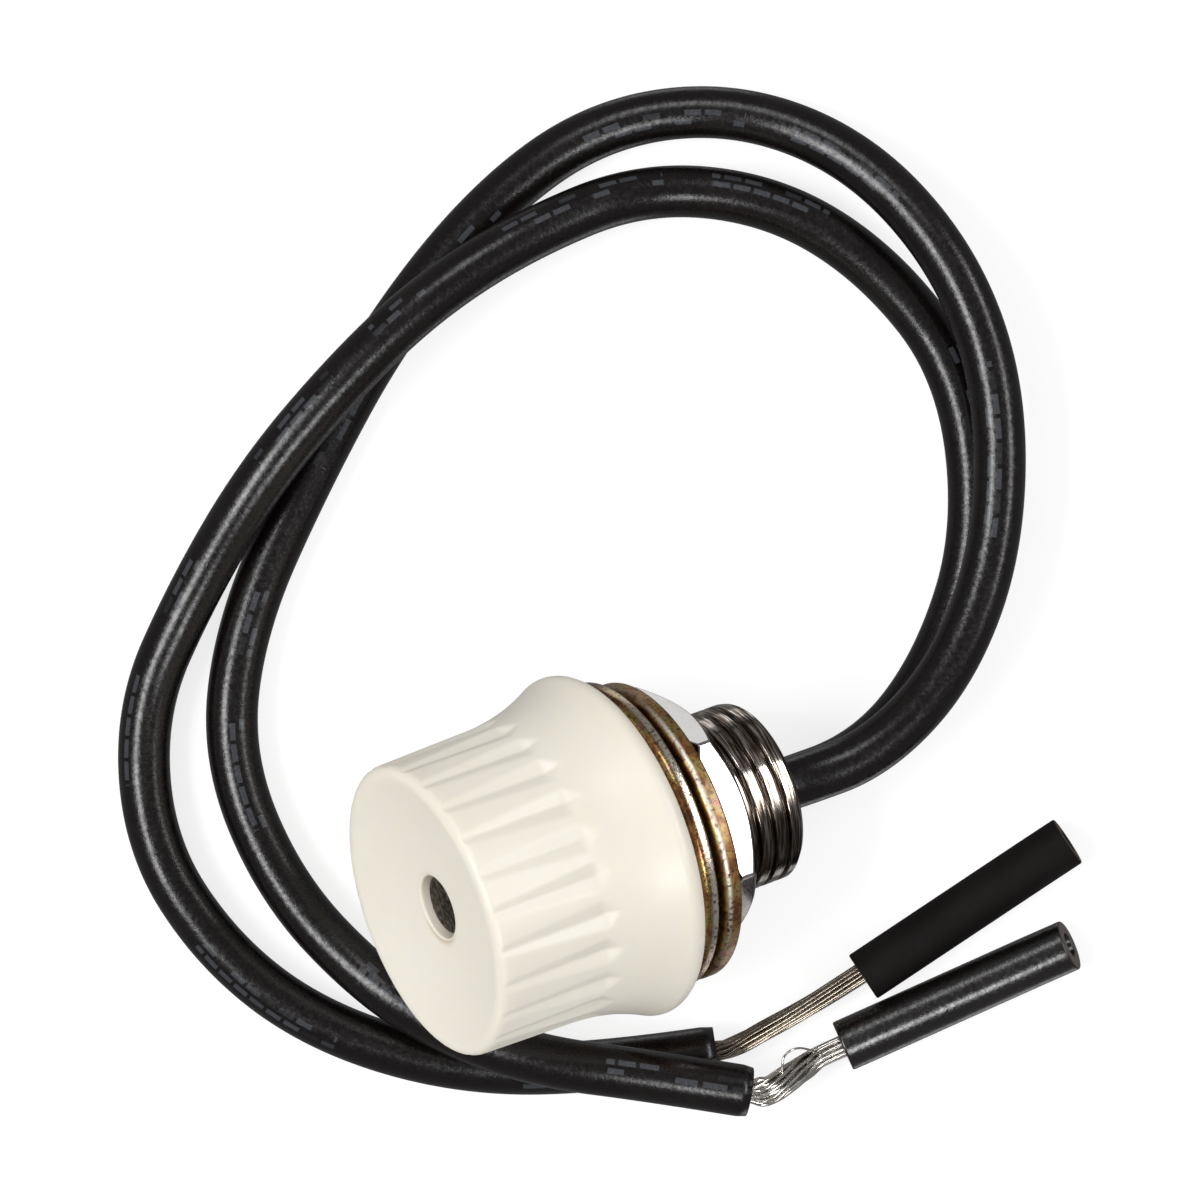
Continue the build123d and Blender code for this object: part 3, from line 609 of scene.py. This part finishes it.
def print_group():
    """Generic print: two broken lines of dashes along a lead, laid out in mm by its corner map, as a mask."""
    tree, given, put = new_group(
        "print_dashes", [("Length", 143.0), ("Centre", 0.25)], [("Mask", "NodeSocketFloat")]
    )
    across, down = map_parts(tree)
    along = calc(tree, "MULTIPLY", down, given.outputs["Length"])
    off = calc(tree, "SUBTRACT", across, given.outputs["Centre"])
    round_mm = calc(tree, "MULTIPLY", off, 2 * math.pi * LEAD_RADIUS)
    flat = node(tree, "ShaderNodeCombineXYZ", [("X", along), ("Y", round_mm)])
    brick = node(tree, "ShaderNodeTexBrick", [("Vector", flat.outputs[0])], Scale=1.0, **DASHES)
    for label, shade in (("Color1", 0.0), ("Color2", 1.0), ("Mortar", 0.0)):
        brick.inputs[label].default_value = (shade, shade, shade, 1.0)
    shown = node(tree, "ShaderNodeMapRange", [("Value", brick.outputs["Color"])])
    shown.inputs["From Min"].default_value = 0.25
    shown.inputs["From Max"].default_value = 0.5
    breaks = node(tree, "ShaderNodeTexNoise", [("W", along)], noise_dimensions="1D", Scale=0.11, Detail=0.0)
    mask = calc(tree, "MULTIPLY", shown.outputs[0], calc(tree, "COMPARE", round_mm, 0.0, 0.5))
    mask = calc(tree, "MULTIPLY", mask, calc(tree, "GREATER_THAN", breaks.outputs["Fac"], 0.5))
    mask = calc(tree, "MULTIPLY", mask, calc(tree, "GREATER_THAN", along, PRINT_FROM))
    tree.links.new(mask, put.inputs["Mask"])
    return tree


def wear_and_painted_light_group():
    """Cut, rubbed, smudged or tarnished places, and painted light (highlight on the disc rims, shade on one
    nut flat and on the thread): the piece's own attribute of wear and painted light, as a mask.
    """
    tree, _, put = new_group("wear_and_painted_light_places", [], [("Mask", "NodeSocketFloat")])
    mark = node(tree, "ShaderNodeAttribute", attribute_name="wear_and_painted_light")
    tree.links.new(mark.outputs["Fac"], put.inputs["Mask"])
    return tree


def streaks_group():
    """Drawn streaks: noise wrapped round a piece by its corner map, long round the axis and short across."""
    tree, given, put = new_group(
        "drawn_streaks", [("Around", 3.0), ("Across", 110.0)], [("Value", "NodeSocketFloat")]
    )
    round_share, across_share = map_parts(tree)
    angle = calc(tree, "MULTIPLY", round_share, 2 * math.pi)
    wrapped = node(tree, "ShaderNodeCombineXYZ")
    for axis, wave in (("X", "COSINE"), ("Y", "SINE")):
        wide = calc(tree, "MULTIPLY", calc(tree, wave, angle), given.outputs["Around"])
        tree.links.new(wide, wrapped.inputs[axis])
    across = calc(tree, "MULTIPLY", across_share, given.outputs["Across"])
    tree.links.new(across, wrapped.inputs["Z"])
    noise = node(tree, "ShaderNodeTexNoise", [("Vector", wrapped.outputs[0])], Scale=1.0, Detail=3.0)
    tree.links.new(noise.outputs["Fac"], put.inputs["Value"])
    return tree


GRAIN = grain_group()
MARKS = marks_group()
PRINT = print_group()
WEAR_AND_PAINTED_LIGHT = wear_and_painted_light_group()
STREAKS = streaks_group()


class Finish:
    """Material under construction: a Principled shader and short calls that feed it."""

    def __init__(self, name, **sockets):
        self.material = bpy.data.materials.new(name)
        self.material.use_nodes = True
        self.tree = self.material.node_tree
        self.shader = self.tree.nodes["Principled BSDF"]
        for label, value in sockets.items():
            self.shader.inputs[label.replace("_", " ")].default_value = value

    def group(self, tree, **values):
        """Places a shared effect with its own values and returns its one output."""
        made = self.tree.nodes.new("ShaderNodeGroup")
        made.node_tree = tree
        for label, value in values.items():
            made.inputs[label].default_value = value
        return made.outputs[0]

    def mix(self, factor, low, high):
        """Mixes two colours, given or linked, by a factor."""
        made = self.tree.nodes.new("ShaderNodeMix")
        made.data_type = "RGBA"
        self.tree.links.new(factor, made.inputs["Factor"])
        for slot, colour in ((6, low), (7, high)):
            if isinstance(colour, tuple):
                made.inputs[slot].default_value = (*colour, 1.0)
            else:
                self.tree.links.new(colour, made.inputs[slot])
        return made.outputs[2]

    def ramp(self, factor, stops):
        """Colour ramp over a factor from (position, colour) stops."""
        made = self.tree.nodes.new("ShaderNodeValToRGB")
        self.tree.links.new(factor, made.inputs["Fac"])
        ramp = made.color_ramp
        while len(ramp.elements) < len(stops):
            ramp.elements.new(0.5)
        for element, (position, colour) in zip(ramp.elements, stops):
            element.position = position
            element.color = (*colour, 1.0)
        return made.outputs["Color"]

    def range(self, factor, low, high):
        """Spreads a 0 to 1 factor between two values."""
        made = self.tree.nodes.new("ShaderNodeMapRange")
        self.tree.links.new(factor, made.inputs["Value"])
        made.inputs["To Min"].default_value = low
        made.inputs["To Max"].default_value = high
        return made.outputs["Result"]

    def feed(self, label, source):
        """Links a source to one of the shader's sockets."""
        self.tree.links.new(source, self.shader.inputs[label])

    def bump(self, height, strength, distance):
        """Bumps the surface by a height."""
        made = self.tree.nodes.new("ShaderNodeBump")
        made.inputs["Strength"].default_value = strength
        made.inputs["Distance"].default_value = distance
        self.tree.links.new(height, made.inputs["Height"])
        self.feed("Normal", made.outputs["Normal"])

    def wear(self, piece):
        """Gives a piece this material alone."""
        piece.data.materials.clear()
        piece.data.materials.append(self.material)


def ivory_finish():
    """Moulded ivory plastic: warm cream, faint clouding, soft gloss, fine orange peel, a smudged hole."""
    made = Finish(
        "ivory_plastic", Specular_IOR_Level=0.5, IOR=1.49, Subsurface_Weight=0.25, Subsurface_Scale=0.0012
    )
    made.shader.inputs["Subsurface Radius"].default_value = (1.0, 0.75, 0.45)
    cloud = made.group(MARKS, Scale=90.0, Level=0.42, Softness=0.25)
    colour = made.mix(cloud, (0.775, 0.735, 0.640), (0.795, 0.760, 0.670))
    made.feed("Base Color", made.mix(made.group(WEAR_AND_PAINTED_LIGHT), colour, (0.42, 0.30, 0.16)))
    grain = made.group(GRAIN, Scale=2600.0, Stretch=1.0)
    made.feed("Roughness", made.range(grain, 0.30, 0.44))
    made.bump(grain, 0.10, 0.00002)
    return made


def zinc_finish(name, low, high):
    """Yellow zinc plate: brown and bronze in fine grain with gold, green and pink, its rubbed rim silvery,
    partly a painted highlight.
    """
    made = Finish(name, Metallic=1.0, Coat_Weight=0.4, Coat_Roughness=0.15)
    slow = made.group(GRAIN, Scale=800.0, Stretch=1.0)
    tint = made.ramp(slow, [
        (0.30, (0.125, 0.050, 0.018)), (0.43, (0.27, 0.115, 0.038)), (0.50, (0.40, 0.22, 0.075)),
        (0.56, (0.36, 0.30, 0.10)), (0.64, (0.46, 0.21, 0.16)),
    ])
    # Silvery rubbed band: partly wear, partly painted highlight.
    rubbed_highlight = made.mix(made.group(WEAR_AND_PAINTED_LIGHT), tint, (0.92, 0.87, 0.76))
    marks = made.group(MARKS, Scale=5200.0, Level=0.52, Softness=0.16)
    made.feed("Base Color", made.mix(marks, rubbed_highlight, (0.075, 0.042, 0.022)))
    grain = made.group(GRAIN, Scale=6000.0, Stretch=1.2)
    made.feed("Roughness", made.range(grain, low, high))
    made.bump(grain, 0.4, 0.00003)
    return made


def nickel_finish(name, light, dark, chamfer_and_shaded_flat):
    """Nickel plate: warm grey mirror in two close tones with slight smears, dark brown where marked: on the
    chamfers, and on one flat as painted shade.
    """
    made = Finish(name, Metallic=1.0)
    marks = made.group(MARKS, Scale=600.0, Level=0.5, Softness=0.25)
    tone = made.mix(marks, light, dark)
    made.feed("Base Color", made.mix(made.group(WEAR_AND_PAINTED_LIGHT), tone, chamfer_and_shaded_flat))
    grain = made.group(GRAIN, Scale=1700.0, Stretch=1.0)
    made.feed("Roughness", made.range(grain, 0.05, 0.2))
    made.bump(grain, 0.06, 0.00002)
    return made


def thread_finish():
    """Nickel-plated thread: brown and bright streaks in its colour and gloss, mostly darker than the nut's
    nickel as painted dark reflection, with painted shade in its groove and on one side.
    """
    made = Finish("thread_nickel", Metallic=1.0)
    streak = made.group(STREAKS, Around=3.0, Across=110.0)
    tone = made.ramp(streak, [
        (0.36, (0.05, 0.032, 0.02)), (0.45, (0.16, 0.12, 0.09)), (0.53, (0.36, 0.31, 0.265)),
        (0.64, (0.74, 0.71, 0.68)),
    ])
    # Near-black colour: painted shade in the groove and on one side.
    made.feed("Base Color", made.mix(made.group(WEAR_AND_PAINTED_LIGHT), tone, (0.030, 0.019, 0.012)))
    made.feed("Roughness", made.range(streak, 0.26, 0.06))
    made.bump(streak, 0.15, 0.00002)
    return made


def insulation_finish(name, low, high, sheen, print_at=None):
    """Black extruded insulation: near black, its sheen broken by grain, matt cut ends and generic print."""
    made = Finish(name, Specular_IOR_Level=sheen, IOR=1.5)
    dust = made.group(MARKS, Scale=260.0, Level=0.5, Softness=0.3)
    colour = made.mix(dust, (0.0042, 0.0028, 0.0027), (0.0080, 0.0060, 0.0058))
    if print_at is not None:
        colour = made.mix(made.group(PRINT, Centre=print_at), colour, (0.042, 0.045, 0.052))
    cut = made.group(WEAR_AND_PAINTED_LIGHT)
    made.feed("Base Color", made.mix(cut, colour, (0.055, 0.042, 0.034)))
    grain = made.group(GRAIN, Scale=4200.0, Stretch=1.0)
    made.feed("Roughness", made.mix(cut, made.range(grain, low, high), (0.9, 0.9, 0.9)))
    made.bump(grain, 0.5, 0.00003)
    return made


def pin_finish():
    """Worn end of the pin: dark tarnish broken by flecks of bare yellowish metal."""
    made = Finish("worn_pin", Metallic=1.0)
    flecks = made.group(MARKS, Scale=4200.0, Level=0.42, Softness=0.3)
    made.feed("Base Color", made.mix(flecks, (0.035, 0.028, 0.020), (0.30, 0.255, 0.19)))
    grain = made.group(GRAIN, Scale=3200.0, Stretch=1.0)
    made.feed("Roughness", made.range(grain, 0.3, 0.6))
    made.bump(grain, 0.3, 0.00002)
    return made


def plain_finish(name, dark, light, metallic, low, high, scale):
    """Hidden or small piece: two close colours mixed by grain, with the same grain in its gloss and bump."""
    made = Finish(name, Metallic=metallic)
    grain = made.group(GRAIN, Scale=scale, Stretch=1.0)
    made.feed("Base Color", made.mix(grain, dark, light))
    made.feed("Roughness", made.range(grain, low, high))
    made.bump(grain, 0.15, 0.00002)
    return made


ivory = ivory_finish()
zinc = zinc_finish("yellow_zinc", 0.14, 0.42)
dull_zinc = zinc_finish("dull_yellow_zinc", 0.34, 0.6)
# Dark colour of the nut: on its chamfers, and on one flat as painted shade.
nickel = nickel_finish("bright_nickel", (0.60, 0.58, 0.58), (0.50, 0.48, 0.47), (0.085, 0.062, 0.052))
thread_nickel = thread_finish()
printed_black_a = insulation_finish("insulation_printed_a", 0.02, 0.48, 0.4, 0.17)
printed_black_b = insulation_finish("insulation_printed_b", 0.02, 0.48, 0.4, 0.29)
satin_black = insulation_finish("insulation_satin", 0.02, 0.46, 0.8)
matt_black = insulation_finish("insulation_matt", 0.6, 0.8, 0.12)
dull_tin = plain_finish("tinned_copper_dull", (0.17, 0.13, 0.085), (0.62, 0.56, 0.48), 1.0, 0.12, 0.3, 1400.0)
# Painted sheen: conductor B's strands get a lighter copy of conductor A's tinned copper.
sheen_painted_tin = plain_finish(
    "tinned_copper_painted_sheen", (0.46, 0.42, 0.36), (0.97, 0.96, 0.94), 1.0, 0.10, 0.28, 1400.0
)
steel = plain_finish("dull_steel", (0.20, 0.19, 0.16), (0.34, 0.33, 0.29), 1.0, 0.34, 0.52, 1800.0)
pin_steel = pin_finish()
phenolic = plain_finish("brown_phenolic", (0.07, 0.03, 0.016), (0.13, 0.06, 0.03), 0.0, 0.35, 0.5, 700.0)
fibre = plain_finish("grey_fibre", (0.16, 0.15, 0.14), (0.30, 0.28, 0.26), 0.0, 0.75, 0.9, 1200.0)
brass = plain_finish("stamped_brass", (0.50, 0.35, 0.13), (0.70, 0.52, 0.24), 1.0, 0.22, 0.4, 1500.0)
silver = plain_finish("contact_silver", (0.68, 0.67, 0.65), (0.85, 0.84, 0.82), 1.0, 0.2, 0.35, 2000.0)

for finish, piece in (
    (ivory, knob),
    (zinc, plate),
    (dull_zinc, washer),
    (nickel, nut),
    (thread_nickel, nipple),
    (printed_black_a, lead_a),
    (printed_black_b, lead_b),
    (satin_black, slug_b),
    (matt_black, slug_a),
    (dull_tin, strands_a),
    (sheen_painted_tin, strands_b),
):
    finish.wear(piece)

for finish, names in (
    (steel, ["block_yoke", "contact_spring", "detent_spring"]),
    (pin_steel, ["pivot_pin"]),
    (phenolic, ["contact_block", "rotor"]),
    (fibre, ["fibre_insulator"]),
    (brass, ["fixed_contact_a", "fixed_contact_b", "contact_blade"]),
    (silver, ["blade_contacts"]),
):
    for name in names:
        finish.wear(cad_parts[name])

# What each piece stands for, and the body it moves with
for piece, body, stands_for, slot in (
    (knob, "knob", "knob", "ivory"),
    (plate, "base", "base_plate", "zinc"),
    (washer, "washer", "mounting_washer", "zinc"),
    (nut, "nut", "hex_nut", "nickel"),
    (nipple, "base", "threaded_nipple", "nickel"),
    (lead_a, "base", "lead_a", "insulation"),
    (lead_b, "base", "lead_b", "insulation"),
    (strands_a, "base", "conductor_a", "tinned"),
    (strands_b, "base", "conductor_b", "tinned"),
    (slug_a, "base", "insulation_slug_a", "insulation"),
    (slug_b, "base", "insulation_slug_b", "insulation"),
):
    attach(piece, body)
    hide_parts(stands_for)

# Floor and studio light, in metres. The floor isn't mirrored in the pieces: two low glows stand in for it.
REACH, LEVEL = 3.0, -2e-5
floor_corners = [
    (-REACH, -REACH, LEVEL), (REACH, -REACH, LEVEL), (REACH, REACH, LEVEL), (-REACH, REACH, LEVEL),
]
floor_mesh = bpy.data.meshes.new("floor")
floor_mesh.from_pydata(floor_corners, [], [(0, 1, 2, 3)])
floor = bpy.data.objects.new("floor", floor_mesh)
bpy.context.scene.collection.objects.link(floor)
paper = Finish("white_paper", Roughness=0.9, Specular_IOR_Level=0.1, Emission_Strength=0.78)
paper.shader.inputs["Base Color"].default_value = (0.3, 0.3, 0.3, 1.0)
paper.shader.inputs["Emission Color"].default_value = (1.0, 1.0, 1.0, 1.0)
paper.wear(floor)
floor.visible_glossy = False
floor.visible_shadow = False


def softbox(name, right, up, height, size, power):
    """Rectangular area light placed by its offsets in the view's own directions, aimed at the switch."""
    light = bpy.data.lights.new(name, "AREA")
    light.shape = "RECTANGLE"
    light.size, light.size_y = size
    light.energy = power
    holder = bpy.data.objects.new(name, light)
    place = VIEW_RIGHT * right + VIEW_UP * up + np.array([0, 0, height])
    back = place / np.linalg.norm(place)
    side = np.cross(VIEW_UP, back)
    side /= np.linalg.norm(side)
    over = np.cross(back, side)
    turned = np.eye(4)
    turned[:3] = np.stack([side, over, back, place], 1)
    holder.matrix_world = Matrix(turned.tolist())
    bpy.context.scene.collection.objects.link(holder)
    return holder


# Each box: offsets to the right, up the picture and over the floor, then its two sides and its power
softbox("left_box", -0.36, -0.05, 0.55, (0.18, 0.34), 3.1)
softbox("right_panel", 0.60, 0.18, 0.50, (0.14, 0.7), 2.8)
overhead = softbox("overhead", 0.0, 0.0, 1.1, (0.9, 0.9), 2.7)
overhead.visible_glossy = False
for glint in (
    softbox("near_box", 0.12, -0.29, 0.55, (0.16, 0.16), 1.1),
    softbox("far_box", -0.06, 0.45, 0.55, (0.2, 0.2), 0.7),
    softbox("low_far_glow", -0.03, 0.42, -0.27, (0.18, 0.18), 0.088),
    softbox("low_near_glow", 0.2, -0.32, -0.32, (0.18, 0.18), 0.105),
):
    glint.visible_diffuse = False

world = bpy.data.worlds.new("studio")
bpy.context.scene.world = world
world.use_nodes = True
world.node_tree.nodes["Background"].inputs["Color"].default_value = (1.0, 1.0, 1.0, 1.0)
world.node_tree.nodes["Background"].inputs["Strength"].default_value = 0.2
bpy.context.scene.view_settings.view_transform = "Standard"
